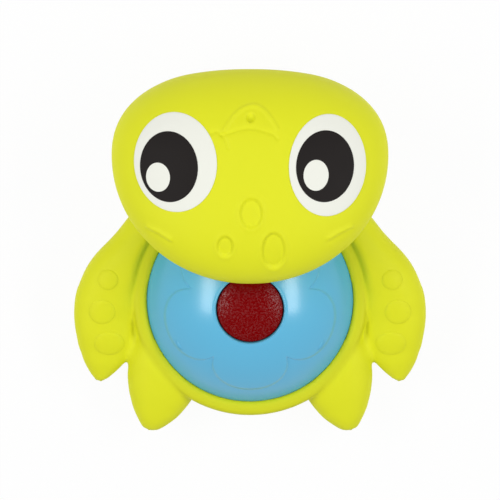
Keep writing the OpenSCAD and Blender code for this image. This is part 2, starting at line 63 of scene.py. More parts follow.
# Body shell
# The turtle's body and its four flippers, one rotationally moulded shell of soft lime vinyl,
# 2.4 mm thick, with a rim round the open belly and a short neck that is glued to the head.
# The skin is the zero level of simple forms merged with fillets, so flippers grow from the body.
def linear(code):
    """An sRGB hex colour as linear red, green, blue and alpha: each channel goes through the
    sRGB curve, a straight toe below 0.04045 and a power of 2.4 above it."""
    c = np.array([int(code[i:i + 2], 16) / 255.0 for i in (1, 3, 5)])
    c = np.where(c <= 0.04045, c / 12.92, ((c + 0.055) / 1.055) ** 2.4)
    return (float(c[0]), float(c[1]), float(c[2]), 1.0)


def node(tree, kind, values=(), feeds=(), **settings):
    """Adds one shader node, sets its settings and input values, and links its feeds, each given
    as (input, source node, output)."""
    n = tree.nodes.new(kind)
    for key, value in settings.items():
        setattr(n, key, value)
    for key, value in dict(values).items():
        n.inputs[key].default_value = value
    for key, source, output in feeds:
        tree.links.new(source.outputs[output], n.inputs[key])
    return n


def finish(name, values):
    """A new material with one Principled shader, and that shader's tree and node."""
    m = bpy.data.materials.new(name)
    m.use_nodes = True
    tree = m.node_tree
    skin = tree.nodes["Principled BSDF"]
    for key, value in values.items():
        skin.inputs[key].default_value = value
    return m, tree, skin


def mesh_piece(name, points, faces, material):
    """A smooth mesh object from points in millimetres and a list of arrays of faces, each array
    holding faces with one number of corners."""
    mesh = bpy.data.meshes.new(name)
    mesh.vertices.add(len(points))
    mesh.vertices.foreach_set("co", (np.asarray(points, float) * 0.001).ravel())
    corners = np.concatenate([f.ravel() for f in faces]).astype(np.int32)
    sizes = np.concatenate([np.full(len(f), f.shape[1]) for f in faces]).astype(np.int32)
    starts = np.concatenate([[0], np.cumsum(sizes)[:-1]]).astype(np.int32)
    mesh.loops.add(len(corners))
    mesh.loops.foreach_set("vertex_index", corners)
    mesh.polygons.add(len(sizes))
    mesh.polygons.foreach_set("loop_start", starts)
    mesh.polygons.foreach_set("loop_total", sizes)
    mesh.polygons.foreach_set("use_smooth", np.ones(len(sizes), dtype=bool))
    mesh.update(calc_edges=True)
    mesh.validate()
    mesh.materials.append(material)
    piece = bpy.data.objects.new(name, mesh)
    bpy.context.scene.collection.objects.link(piece)
    return piece


def bands(first, rows, around, flip=False):
    """Four-sided faces between rings of points, closed round the ring."""
    j = first + np.arange(rows - 1)[:, None] * around
    i = np.arange(around)
    ahead = (i + 1) % around
    q = np.stack([j + i, j + ahead, j + around + ahead, j + around + i], axis=-1).reshape(-1, 4)
    return q[:, ::-1] if flip else q


def join(first, last, around):
    """Four-sided faces from the last ring of a closed profile back to its first, each ring given
    by the number of its first point."""
    i = np.arange(around)
    ahead = (i + 1) % around
    return np.column_stack([last + i, last + ahead, first + ahead, first + i])


def revolve(profile, around):
    """Points of a profile of (radius, height) rows carried round the belly's axis."""
    turn = np.linspace(0, 2 * np.pi, around, endpoint=False)
    p = np.asarray(profile, float)
    return np.stack([p[:, 0, None] * np.cos(turn), body_y + p[:, 0, None] * np.sin(turn),
                     np.repeat(p[:, 1, None], around, axis=1)], axis=-1)


def spline(table, u):
    """The smooth Catmull-Rom curve through the rows of a table, with u counted in rows."""
    t = np.asarray(table, float)
    last = len(t) - 1
    i = np.clip(np.floor(u).astype(int), 0, last - 1)
    f = (u - i)[:, None]
    a, b, c, d = t[np.maximum(i - 1, 0)], t[i], t[i + 1], t[np.minimum(i + 2, last)]
    square = a - 2.5 * b + 2 * c - d / 2
    cube = 1.5 * (b - c) + (d - a) / 2
    return b + f * (c - a) / 2 + f ** 2 * square + f ** 3 * cube


def merge(a, b, fillet):
    """The smooth minimum of two distances: the lesser one, less a quarter of the fillet's width
    where they are equal, so that two forms meet in a fillet about that wide."""
    h = np.maximum(fillet - np.abs(a - b), 0.0) / fillet
    return np.minimum(a, b) - h * h * fillet / 4


def oval(across, up, half_across, half_up, power):
    """About the distance from a superellipse: its norm less one, times the half-width and the
    half-height weighted by how far the place lies along each."""
    c = np.abs(across) / half_across
    h = np.abs(up) / half_up
    norm = (c ** power + h ** power) ** (1 / power)
    return (norm - 1) * (c * half_across + h * half_up + 1e-6) / (c + h + 1e-6)


def rod_distance(p, start, way, start_r, end_r):
    """Distance from a straight rod with round ends, whose radius changes evenly along its way."""
    off = p - start
    t = np.clip((off * way).sum(axis=1) / (way ** 2).sum(), 0, 1)
    return np.linalg.norm(off - t[:, None] * way, axis=1) - (start_r + (end_r - start_r) * t)


def limb_distance(p, rows, size, root_y):
    """About the distance from a flipper: the nearest place on its course is found on 120 steps and
    refined along the course, and there the cross-section is a superellipse."""
    batch = 60000
    last = len(rows) - 1
    u = np.linspace(0, last, 121)
    q = spline(rows, u) * size
    q[:, 1] += root_y
    way = np.gradient(q[:, :2], u, axis=0)
    near = np.empty(len(p), int)
    for i in range(0, len(p), batch):
        d = (p[i:i + batch, 0, None] - q[:, 0]) ** 2 + (p[i:i + batch, 1, None] - q[:, 1]) ** 2
        near[i:i + batch] = d.argmin(axis=1)
    speed = np.linalg.norm(way[near], axis=1)
    off = p[:, :2] - q[near, :2]
    along = (off * way[near]).sum(axis=1) / speed
    at = np.clip(u[near] + along / speed, 0, last)
    q = spline(rows, at) * size
    q[:, 1] += root_y
    ahead = way[near] / speed[:, None]
    off = p[:, :2] - q[:, :2]
    beyond = np.abs((off * ahead).sum(axis=1))
    across = off[:, 0] * ahead[:, 1] - off[:, 1] * ahead[:, 0]
    return oval(across, p[:, 2] - q[:, 3], q[:, 2], q[:, 4], limb_power) + beyond


# All sizes are in millimetres. The belly's axis is at body_y and its front at belly_z. The flat
# back has the radius back_r, the side stands upright at side_z, and the mouth is cut to mouth_r
# down to mouth_floor. The chin is at chin_y and chin_z, and the head's spine falls by spine_fall.
body_y, body_r = -18.1, 42.4
back_r, side_z, belly_z = 17.0, 19.0, 23.6
wall = 2.4
mouth_r, mouth_floor = 37.1, 22.0
rim_r, rim_z, rim_half_w, rim_half_h, rim_power = 39.85, 22.9, 2.55, 2.3, 2.5
trough_r, trough_z, trough_slope, trough_top = 41.6, 24.4, 0.5, 24.2
chin_y, head_w, head_h = -6.7, 98.8, 74.3
chin_z, spine_fall, face_up, head_power = 52.0, 19.0, 24.5, 2.4
wide_at, crown_power = 0.6, 2.28
# The flippers' sections are superellipses too.
limb_power = 2.4
arm_root_y, arm_reach, arm_length = body_y + 26.4, 54.0, 57.8
# The start and the way of two rods: one fills the shoulder, one the web between the flippers.
shoulder, shoulder_way = np.array([22.5, 21.3, 14.2]), np.array([7.5, -13.0, 3.2])
web, web_way = np.array([40.3, body_y - 8.9, 17.2]), np.array([1.5, -11.45, 0.0])
# A row of a flipper's table holds its middle outward and along, its half-width, its middle's
# height and its half-thickness, all as shares of the flipper's sizes.
arm_size = np.array([arm_reach, -arm_length, 12.0, 26.3, 10.0])
arm_rows = [[0.398, -0.128, 0.6, 0.6, 0.5], [0.556, 0, 1, 0.66, 0.88], [0.737, 0.192, 1, 0.67, 1],
            [0.894, 0.325, 0.917, 0.67, 0.96], [0.942, 0.454, 1.01, 0.66, 0.9],
            [0.965, 0.571, 0.984, 0.64, 0.82], [0.969, 0.709, 0.897, 0.62, 0.73],
            [0.978, 0.8, 0.789, 0.6, 0.63], [0.992, 0.875, 0.608, 0.58, 0.57],
            [1.002, 0.937, 0.4, 0.56, 0.46], [1.007, 0.98, 0.212, 0.55, 0.35],
            [1.007, 0.993, 0.13, 0.545, 0.26], [1.007, 1, 0.04, 0.54, 0.14]]
leg_size = np.array([35.4, -49.6, 13.4, 26.3, 10.0])
leg_rows = [[0.819, 0.33, 1, 0.62, 1], [0.856, 0.517, 1.058, 0.61, 0.95],
            [0.9, 0.638, 0.977, 0.6, 0.88], [0.936, 0.739, 0.853, 0.59, 0.8],
            [0.962, 0.81, 0.731, 0.58, 0.72], [0.986, 0.871, 0.601, 0.57, 0.65],
            [1.01, 0.931, 0.423, 0.56, 0.55], [1.029, 0.978, 0.254, 0.55, 0.41],
            [1.034, 0.992, 0.15, 0.545, 0.3], [1.037, 1, 0.038, 0.54, 0.15]]
# A row of the neck's table holds how far along it lies and its half-width, as shares of the body's
# radius, and its top and foot as shares of belly_z and side_z.
neck_rows = np.array([[0.5, 0.66, 0.85, 0.5], [0.82, 0.72, 0.9, 0.3], [1.05, 0.7, 0.93, 0.22],
                      [1.26, 0.73, 1, 0.17], [1.5, 0.8, 1.08, 0.1]])


def head_width(s):
    """The head's half-width as a share of its greatest, by the way from chin to crown: an ellipse
    below the widest place and a flatter power curve above it."""
    low = np.sqrt(np.maximum(0, 1 - ((wide_at - s) / wide_at) ** 2))
    over = np.maximum(s - wide_at, 0) / (1 - wide_at)
    high = np.maximum(0, 1 - over ** crown_power) ** (1 / crown_power)
    return np.where(s < wide_at, low, high)


def head_spine(s):
    """Height of the head's spine, a straight line that falls from chin to crown."""
    return chin_z - spine_fall * s


def head_back(s):
    """Height of the back of the head by the way from chin to crown, from a table in equal steps
    that holds it as shares of the chin's height."""
    rows = np.array([1, 0.85, 0.8, 0.765, 0.723, 0.665, 0.605, 0.562, 0.522, 0.385, 0.16, 0.055,
                     0.015, 0, 0.004, 0.02, 0.06, 0.115, 0.19, 0.33, 0.635])[:, None]
    return np.maximum(0, chin_z * spline(rows, np.clip(s, 0, 1) * (len(rows) - 1))[:, 0])


def head_distance(p):
    """About the distance from the head's outer surface, whose sections are superellipses about
    its spine."""
    s = np.clip((p[:, 1] - chin_y) / head_h, 0.002, 0.998)
    spine = head_spine(s)
    up = p[:, 2] - spine
    w = head_width(s)
    half_up = np.where(up > 0, w * face_up, spine - head_back(s))
    beyond = np.abs(p[:, 1] - (chin_y + s * head_h))
    return oval(p[:, 0], up, w * head_w / 2, np.maximum(half_up, 0.3), head_power) + beyond


def body_distance(p):
    """About the distance from the body's skin. The bowl is a round disc whose side is a quarter
    ellipse, the rim a superellipse carried round the belly, and the flippers and the neck run
    into them with fillets. The trough outside the rim is a cone taken from the flippers. The
    hollow, the belly's mouth and the head's seat are taken away, and the back is flat."""
    p = np.column_stack([np.abs(p[:, 0]), p[:, 1], p[:, 2]])
    x, y, z = p[:, 0], p[:, 1], p[:, 2]
    r = np.hypot(x, y - body_y)

    def bowl(inset, top):
        out = np.maximum(r - back_r, 0)
        side = oval(out, np.minimum(z - side_z, 0), body_r - back_r - inset, side_z - inset, 2.0)
        return -merge(-side, -(z - top), 0.4)

    def limb(near, rows, size, root_y):
        d = np.full(len(p), 30.0)
        d[near] = limb_distance(p[near], rows, size, root_y)
        return d

    # Each flipper is only worked out where it can reach.
    arm = limb((x > 15) & (y < 30) & (y > -56), arm_rows, arm_size, arm_root_y)
    leg = limb((x > 8) & (y < -25), leg_rows, leg_size, body_y)
    limbs = merge(merge(arm, rod_distance(p, shoulder, shoulder_way, 6.8, 7.6), 4.0), leg, 2.0)
    limbs = merge(limbs, rod_distance(p, web, web_way, 3.3, 3.3), 2.0)
    # The slope's length is about 1.1 times its run, so nine tenths makes it a distance.
    cone = (trough_r - r + (z - trough_z) * trough_slope) * 0.9
    trough = merge(cone, z - trough_top, 1.5)
    limbs = -merge(-limbs, -trough, 2.0)

    row = spline(neck_rows, np.interp((y - body_y) / body_r, neck_rows[:, 0], np.arange(5.0)))
    top = row[:, 2] * belly_z
    foot = row[:, 3] * side_z
    neck = oval(x, z - (top + foot) / 2, row[:, 1] * body_r, (top - foot) / 2, 2.2)
    neck = np.maximum(neck, np.maximum(body_y + 21 - y, y - body_y - 65))

    skin = merge(bowl(0.0, belly_z - 1.0), neck, 5.0)
    skin = merge(skin, limbs, 1.6)
    skin = merge(skin, oval(r - rim_r, z - rim_z, rim_half_w, rim_half_h, rim_power), 1.2)
    hollow = np.minimum(bowl(wall, 23.35), np.maximum(r - mouth_r, mouth_floor - z))
    skin = -merge(-skin, hollow, 0.8)
    seat = -head_distance(p) - wall / 2
    under_table = -z - np.maximum(z, 0)
    return np.maximum(np.maximum(skin, seat), under_table)


def net(distance, low, high, step):
    """The surface where the distance is zero, as a net: one point in each grid cell that it
    crosses, at the mean of the crossings on the cell's edges, and one four-sided face round each
    crossed edge. The points are then moved along the slope onto the surface. The two sides of
    the toy are alike, so the distance is worked out on one and mirrored."""
    axes = [np.arange(low[i], high[i] + step, step) for i in range(3)]
    half = axes[0][axes[0] > -step * 0.6]
    g = np.stack(np.meshgrid(half, axes[1], axes[2], indexing="ij"), axis=-1)
    f = distance(g.reshape(-1, 3)).reshape(g.shape[:3])
    f = np.concatenate([f[:0:-1], f], axis=0)
    first = np.array([-half[-1], axes[1][0], axes[2][0]])
    inside = f < 0
    cells = tuple(n - 1 for n in f.shape)
    total = np.zeros(cells + (3,))
    count = np.zeros(cells)
    crossings = []
    for axis in range(3):
        a = np.moveaxis(f, axis, 0)
        crossed = np.moveaxis((a[:-1] < 0) != (a[1:] < 0), 0, axis)
        share = np.moveaxis(a[:-1] / np.where(a[:-1] == a[1:], 1, a[:-1] - a[1:]), 0, axis)
        others = [i for i in range(3) if i != axis]
        for b in (0, 1):
            for c in (0, 1):
                cut = [slice(None)] * 3
                cut[others[0]] = slice(b, b + cells[others[0]])
                cut[others[1]] = slice(c, c + cells[others[1]])
                here = crossed[tuple(cut)]
                total[..., axis] += np.where(here, share[tuple(cut)], 0)
                total[..., others[0]] += b * here
                total[..., others[1]] += c * here
                count += here
        crossings.append(np.argwhere(crossed))
    used = count > 0
    number = np.full(cells, -1)
    number[used] = np.arange(used.sum())
    at = np.argwhere(used)
    points = first + step * (at + total[used] / count[used][:, None])
    quads = []
    for axis in range(3):
        e = crossings[axis]
        b, c = (axis + 1) % 3, (axis + 2) % 3
        e = e[(e[:, b] > 0) & (e[:, c] > 0) & (e[:, b] < cells[b]) & (e[:, c] < cells[c])]
        ring = []
        for db, dc in ((1, 1), (0, 1), (0, 0), (1, 0)):
            k = e.copy()
            k[:, b] -= db
            k[:, c] -= dc
            ring.append(number[tuple(k.T)])
        ring = np.stack(ring, axis=1)
        out = inside[tuple(e.T)]
        quads.append(np.where(out[:, None], ring, ring[:, ::-1]))
    probe = 0.05
    for _ in range(3):
        value = distance(points)
        slope = [(distance(points + d) - distance(points - d)) / (2 * probe) for d in np.eye(3) * probe]
        slope = np.stack(slope, axis=1)
        steep = np.maximum((slope ** 2).sum(axis=1), 0.2)
        points = points - np.clip(value / steep, -0.4, 0.4)[:, None] * slope
    return points, np.concatenate(quads)


# Rotocast PVC vinyl, filled and pigmented: a matte skin from an etched mould, softly translucent
# at thin edges. The mould's grain is finer than a pixel, so it is drawn 0.3 mm wide. The gloss
# drifts in clouds about 17 mm wide. A noise's scale is 1000 over its size in millimetres.
lime_vinyl, tree, skin = finish("matte_lime_vinyl", {
    "Base Color": linear("#e4e720"), "Roughness": 0.6, "IOR": 1.5, "Specular IOR Level": 0.25,
    "Subsurface Weight": 0.15, "Subsurface Radius": (0.0030, 0.0028, 0.0005), "Subsurface Scale": 1.0})
place = node(tree, "ShaderNodeTexCoord")
grain = node(tree, "ShaderNodeTexNoise", {"Scale": 1000 / 0.3125, "Detail": 2.0},
             [("Vector", place, "Object")])
bump = node(tree, "ShaderNodeBump", {"Strength": 0.18, "Distance": 0.00008}, [("Height", grain, "Fac")])
tree.links.new(bump.outputs["Normal"], skin.inputs["Normal"])
cloud = node(tree, "ShaderNodeTexNoise", {"Scale": 1000 / 16.67, "Detail": 3.0},
             [("Vector", place, "Object")])
gloss = node(tree, "ShaderNodeMapRange", {"To Min": 0.55, "To Max": 0.66}, [("Value", cloud, "Fac")])
tree.links.new(gloss.outputs["Result"], skin.inputs["Roughness"])

net_step = 0.76
points, quads = net(body_distance, (-64.6, -69.4, -1.3), (64.6, 37.5, 37.6), net_step)
# The upper side of the rim once more as a superellipse carried round, 0.03 mm proud of the net,
# so that its edge over the dome is a clean curve.
proud = 0.03
around = 360
low_turn = 0.235
a = np.linspace(np.pi - low_turn, low_turn, 26)
c, h = np.cos(a), np.sin(a)
lip = np.column_stack([rim_r + (rim_half_w + proud) * np.sign(c) * np.abs(c) ** (2 / rim_power),
                       rim_z + (rim_half_h + proud) * h ** (2 / rim_power)])
first = len(points)
lip_faces = [bands(first, len(lip), around), join(first, first + (len(lip) - 1) * around, around)]
body_shell = mesh_piece("body_shell_skin", np.vstack([points, revolve(lip, around).reshape(-1, 3)]),
                        [quads] + lip_faces, lime_vinyl)
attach(body_shell, "toy")
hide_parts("body_shell")


# Flipper spots
# Three round pads on the top of each front flipper, moulded in one with it: low domes with a
# soft edge that leaves a thin line of shade round them.
def cap(middle, first, around, flip=False):
    """Three-sided faces from a middle point to a ring."""
    i = np.arange(around)
    t = np.column_stack([np.full(around, middle), first + (i + 1) % around, first + i])
    return t[:, ::-1] if flip else t


spot_r, spot_rings, around = 4.4, 30, 72
edge_h, crown_h, sunk, pad_t = 0.42, 0.2, 0.14, 1.0
# Each spot's middle outward and along, as shares of the flipper's reach and length, and its
# half-width and half-length as shares of spot_r.
spots = [(0.95, 0.318, 0.88, 0.86), (0.991, 0.527, 1.13, 1.07), (0.945, 0.736, 1.3, 1.04)]
rho, turn = np.meshgrid(np.linspace(0.03, 1.0, spot_rings),
                        np.linspace(0, 2 * np.pi, around, endpoint=False), indexing="ij")
edge = np.concatenate([[0.0], rho.ravel()])
lift = edge_h * np.clip(1 - edge ** 7, 0, 1) ** 0.6 + crown_h * (1 - edge ** 2) - sunk
for side, word in ((-1, "left"), (1, "right")):
    for number, (out, along, wide, tall) in enumerate(spots):
        middle = [out * arm_reach, arm_root_y - along * arm_length]
        x = middle[0] + spot_r * wide * rho * np.cos(turn)
        y = middle[1] + spot_r * tall * rho * np.sin(turn)
        flat = np.vstack([middle, np.column_stack([x.ravel(), y.ravel()])])
        # The skin's height is found by going down from 30 mm by eight tenths of the distance left.
        foot = np.column_stack([flat, np.full(len(flat), 30.0)])
        for _ in range(30):
            foot[:, 2] -= 0.8 * body_distance(foot)
        count = len(foot)
        pad = np.vstack([foot, foot])
        pad[:count, 2] += lift
        pad[count:, 2] -= pad_t
        pad[:, 0] *= side
        fan, rings = cap(0, 1, around, True), bands(1, spot_rings, around, True)
        faces = [fan, rings, fan[:, ::-1] + count, rings[:, ::-1] + count,
                 join(count - around, 2 * count - around, around)]
        faces = [f[:, ::side] for f in faces]
        spot = mesh_piece("flipper_spot_%s_%d" % (word, number + 1), pad, faces, lime_vinyl)
        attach(spot, "toy")

# Head shell
# The broad head, a second soft vinyl moulding glued to the neck. Three round freckles, the
# corners of the smile, the scale on the forehead and the air hole are in its mould.
# Places on the face are shares of the head's half-width from its middle, and of its height from
# the chin. A freckle's half-width and half-height follow its place.
freckles = [(0.009, 0.373, 0.072, 0.0635), (-0.178, 0.211, 0.049, 0.0427), (0.169, 0.188, 0.076, 0.0815)]
smiles = [[(-0.732, 0.293), (-0.652, 0.271), (-0.573, 0.24)],
          [(0.724, 0.294), (0.645, 0.274), (0.566, 0.245)]]
scale_top = [(-0.186, 0.756), (-0.131, 0.809), (-0.072, 0.845), (0.021, 0.866),
             (0.095, 0.848), (0.155, 0.805), (0.191, 0.768)]
scale_low = [[(-0.209, 0.74), (-0.143, 0.749), (-0.071, 0.763), (0.021, 0.768),
              (0.107, 0.755), (0.166, 0.742), (0.196, 0.721)],
             [(-0.28, 0.746), (-0.244, 0.754), (-0.209, 0.742), (-0.179, 0.719), (-0.161, 0.682)]]
vent_x, vent_share, vent_r = 0.18, 0.814, 1.35
# Heights and depths of the detail.
freckle_bank, freckle_groove, freckle_recess = 0.2, 0.42, 0.8
smile_ridge, smile_groove, smile_gap = 0.55, 0.2, 0.021
scale_ridge, scale_groove = 0.55, 0.5
vent_depth, vent_lip = 1.3, 0.12


def from_line(x, y, row):
    """Distance from the smooth curve through places on the face."""
    line = spline(row, np.linspace(0, len(row) - 1, 12 * len(row))) * [head_w / 2, head_h] + [0, chin_y]
    return np.sqrt(((x[:, None] - line[:, 0]) ** 2 + (y[:, None] - line[:, 1]) ** 2).min(axis=1))


def bell(away, width):
    """A bell curve: one at no distance, and e to the minus one at the width."""
    return np.exp(-(away / width) ** 2)


def relief(x, y):
    """Height of the moulded detail over the smooth face, in millimetres: bell curves of the
    distance from its lines. A freckle is a flat recess with a groove at its edge and a soft bank
    outside, a smile line a low ridge above a groove, the forehead scale a ridge at its top and
    grooves at its foot, and the air hole a round pit with a low lip."""
    h = np.zeros(len(x))
    for u, v, half_x, half_y in freckles:
        rx, ry = half_x * head_w / 2, half_y * head_h
        rho = np.hypot((x - u * head_w / 2) / rx, (y - chin_y - v * head_h) / ry)
        away = (rho - 1) * math.sqrt(rx * ry)
        h += freckle_bank * bell(away - 1.15, 0.7) - freckle_groove * bell(away, 0.5)
        h -= freckle_recess / (1 + np.exp(away / 0.22))
    for row in smiles:
        groove = [(u, v - smile_gap) for u, v in row]
        h += smile_ridge * bell(from_line(x, y, row), 0.8) - smile_groove * bell(from_line(x, y, groove), 0.8)
    h += scale_ridge * bell(from_line(x, y, scale_top), 0.7)
    for row in scale_low:
        h -= scale_groove * bell(from_line(x, y, row), 0.6)
    away = np.hypot(x - vent_x, y - chin_y - vent_share * head_h)
    return h - vent_depth * np.exp(-(away / vent_r) ** 6) + vent_lip * bell(away - 2.0, 0.4)


def head_grid(s, turn, inset):
    """Points of the head by the way from chin to crown and the turn round it: a superellipse,
    wider than tall, drawn in by an inset."""
    w = head_width(s)
    c, h = np.cos(turn), np.sin(turn)
    back = head_back(s.ravel()).reshape(s.shape)
    half_up = np.where(h > 0, w * face_up, head_spine(s) - back) - inset
    x = (w * head_w / 2 - inset) * np.sign(c) * np.abs(c) ** (2 / head_power)
    z = head_spine(s) + half_up * np.sign(h) * np.abs(h) ** (2 / head_power)
    return np.stack([x, chin_y + s * head_h, z], axis=-1)


fine = 1
front, rear, rows = 252 // fine, 126 // fine, 240 // fine
# On the face the columns are evenly spaced across it, and closer at its middle with the detail.
face_turn = np.linspace(0, np.pi, front, endpoint=False)
face_turn = face_turn + 0.2 * np.sin(2 * face_turn)
face_turn = np.arccos(np.sign(np.cos(face_turn)) * np.abs(np.cos(face_turn)) ** (head_power / 2))
turn = np.concatenate([face_turn, np.linspace(np.pi, 2 * np.pi, rear, endpoint=False)])
# The rows stop a little short of chin and crown, where a cap closes them.
pole = 0.028
s = 0.5 - 0.5 * np.cos(np.linspace(pole, np.pi - pole, rows))
s_grid, turn_grid = np.meshgrid(s, turn, indexing="ij")
grid = head_grid(s_grid, turn_grid, 0.0)
ahead = np.roll(grid, -1, axis=1) - np.roll(grid, 1, axis=1)
up = np.gradient(grid, axis=0)
out = np.cross(up, ahead)
out /= np.linalg.norm(out, axis=-1, keepdims=True)
flat = grid.reshape(-1, 3)
on_face = np.sin(turn_grid).ravel() > 0.05
height = relief(flat[:, 0], flat[:, 1]) * on_face
outer = flat + height[:, None] * out.reshape(-1, 3)
around = front + rear
# The hollow is the same form drawn in by the wall, which ends short of chin and crown.
inner_rows, inner_around = 40, 48
s_in, turn_in = np.meshgrid(0.5 - 0.42 * np.cos(np.linspace(0.0, np.pi, inner_rows)),
                            np.linspace(0, 2 * np.pi, inner_around, endpoint=False), indexing="ij")
inner = head_grid(s_in, turn_in, wall).reshape(-1, 3)
ends = np.array([outer[:around].mean(axis=0), outer[-around:].mean(axis=0),
                 inner[:inner_around].mean(axis=0), inner[-inner_around:].mean(axis=0)])
count = len(outer)
total = count + len(inner)
head_faces = [bands(0, rows, around, True), bands(count, inner_rows, inner_around),
              cap(total, 0, around, True), cap(total + 1, count - around, around),
              cap(total + 2, count, inner_around), cap(total + 3, total - inner_around, inner_around, True)]
head_shell = mesh_piece("head_shell_skin", np.vstack([outer, inner, ends]), head_faces, lime_vinyl)
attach(head_shell, "toy")
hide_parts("head_shell")


# Eyes
# Pad-printed in three flat layers of matte ink on the vinyl: a warm white oval, a black pupil
# and a small white glint at its lower left. Each layer is a thin closed disc that follows the face.
def face_height(x, y):
    """Front of the head above a place: the spine's height plus the section's superellipse."""
    s = (y - chin_y) / head_h
    w = head_width(s)
    t = np.minimum(np.abs(x) / (w * head_w / 2), 1)
    return head_spine(s) + face_up * w * (1 - t ** head_power) ** (1 / head_power)


def ink(name, colour, roughness):
    """Matte printing ink: a thin even film that hides the vinyl, with a slight orange-peel of
    about 1 mm in its surface and a gloss that drifts over about 11 mm."""
    m, tree, skin = finish(name, {
        "Base Color": linear(colour), "Roughness": roughness, "IOR": 1.49, "Specular IOR Level": 0.12})
    place = node(tree, "ShaderNodeTexCoord")
    peel = node(tree, "ShaderNodeTexNoise", {"Scale": 1000 / 0.909, "Detail": 2.0},
                [("Vector", place, "Object")])
    bump = node(tree, "ShaderNodeBump", {"Strength": 0.15, "Distance": 0.00006}, [("Height", peel, "Fac")])
    tree.links.new(bump.outputs["Normal"], skin.inputs["Normal"])
    film = node(tree, "ShaderNodeTexNoise", {"Scale": 1000 / 11.1, "Detail": 2.0},
                [("Vector", place, "Object")])
    spread = node(tree, "ShaderNodeMapRange", {"To Min": roughness - 0.05, "To Max": roughness + 0.05},
                  [("Value", film, "Fac")])
    tree.links.new(spread.outputs["Result"], skin.inputs["Roughness"])
    return m


white_ink = ink("matte_white_ink", "#f1f2e8", 0.6)
black_ink = ink("matte_black_ink", "#1c1817", 0.6)
# Each layer has its height over the face, and for each eye its middle and half-sizes in shares
# of the head, as the freckles have. All layers go down to a foot inside the vinyl.
prints = [("eye_whites", white_ink, "eye_white", 0.30,
           [(-0.534, 0.605, 0.298, 0.229), (0.555, 0.59, 0.277, 0.235)]),
          ("eye_pupils", black_ink, "eye_black", 0.44,
           [(-0.58, 0.586, 0.208, 0.164), (0.537, 0.589, 0.208, 0.166)]),
          ("eye_glints", white_ink, "eye_white", 0.58,
           [(-0.658, 0.537, 0.086, 0.068), (0.472, 0.551, 0.09, 0.072)])]
foot_z = -0.25
rings, around = 24, 120
rho = np.concatenate([np.linspace(0.04, 0.985, rings), [1.0, 1.0]])
rho_grid, turn_grid = np.meshgrid(rho, np.linspace(0, 2 * np.pi, around, endpoint=False), indexing="ij")
rows = len(rho) + rings
for name, material, slot_name, top_z, ovals in prints:
    lift = np.concatenate([np.full(rings, top_z), [top_z - 0.03, foot_z]])
    points, quads, tris = [], [], []
    for u, v, half_x, half_y in ovals:
        x = (u + half_x * rho_grid * np.cos(turn_grid)) * head_w / 2
        y = chin_y + (v + half_y * rho_grid * np.sin(turn_grid)) * head_h
        face = face_height(x, y)
        top = np.stack([x, y, face + lift[:, None]], axis=-1)
        under = np.stack([x, y, face + foot_z], axis=-1)[:rings][::-1]
        middle_x, middle_y = u * head_w / 2, chin_y + v * head_h
        middle = face_height(np.array([middle_x]), np.array([middle_y]))[0]
        ends = [[middle_x, middle_y, middle + top_z], [middle_x, middle_y, middle + foot_z]]
        first = sum(len(q) for q in points)
        last = first + rows * around
        points.append(np.vstack([top.reshape(-1, 3), under.reshape(-1, 3), ends]))
        quads.append(bands(first, rows, around, True))
        tris += [cap(last, first, around, True), cap(last + 1, last - around, around)]
    printed = mesh_piece(name + "_print", np.vstack(points), [np.vstack(quads), np.vstack(tris)], material)
    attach(printed, "toy")
    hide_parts(name)


# Belly dome
# An injection-moulded cap of glossy sky-blue ABS, snapped under the lip of the body, with a low
# raised flower on it and a round hole with a collar that guides the button.
def rounded(corners, radius, steps=5):
    """A profile with each inner corner cut by a quarter-like arc: a quadratic bend that starts and
    ends at the radius from the corner, or at 45 hundredths of a shorter side."""
    c = [np.array(q[:2], float) for q in corners]
    r = [q[2] if len(q) > 2 else radius for q in corners]
    rows = [c[0]]
    for i in range(1, len(c) - 1):
        a, b = c[i - 1] - c[i], c[i + 1] - c[i]
        d = min(r[i], 0.45 * np.linalg.norm(a), 0.45 * np.linalg.norm(b))
        a, b = c[i] + a / np.linalg.norm(a) * d, c[i] + b / np.linalg.norm(b) * d
        for f in np.linspace(0, 1, steps):
            rows.append((1 - f) ** 2 * a + 2 * f * (1 - f) * c[i] + f ** 2 * b)
    rows.append(c[-1])
    return rows


dome_r, dome_mid, dome_t, dome_edge = 44.12, -0.12, 2.2, 37.15
hole_r, lip_w, lip_h = 12.15, 1.4, 1.2
petal_low, petal_tip, petal_h, petal_step = 21.1, 31.3, 0.5, 0.6
around = 720 // fine
turn = np.linspace(0, 2 * np.pi, around, endpoint=False)
# The flower's outline: in each fifth of the turn a power curve rises from the notch to the tip.
# Its corners are softened by a weighted mean of nine neighbours.
fifth = (np.degrees(turn) + 90 + 36) % 72 / 36 - 1
petal = petal_low + (petal_tip - petal_low) * np.maximum(0, 1 - np.abs(fifth) ** 2.4) ** 0.62
soft = np.hanning(11)[1:-1]
petal = np.convolve(np.concatenate([petal[-4:], petal, petal[:4]]), soft / soft.sum(), "valid")
# Rings from the hole's lip over the flower and its step to the dome's edge.
bend = np.linspace(0, np.pi / 2, 14)[:-1]
lip = hole_r + lip_w * (1 - np.cos(bend))[:, None] + np.zeros(around)
start, clear = hole_r + 1.5, petal_step + 0.1
inside = start + (petal - clear - start) * np.linspace(0, 1, 26)[:, None]
step_band = petal + np.linspace(-petal_step, petal_step, 7)[:, None]
outside = petal + clear + (dome_edge - petal - clear) * np.linspace(0, 1, 34)[:, None]
r_all = np.vstack([lip, inside, step_band, outside])
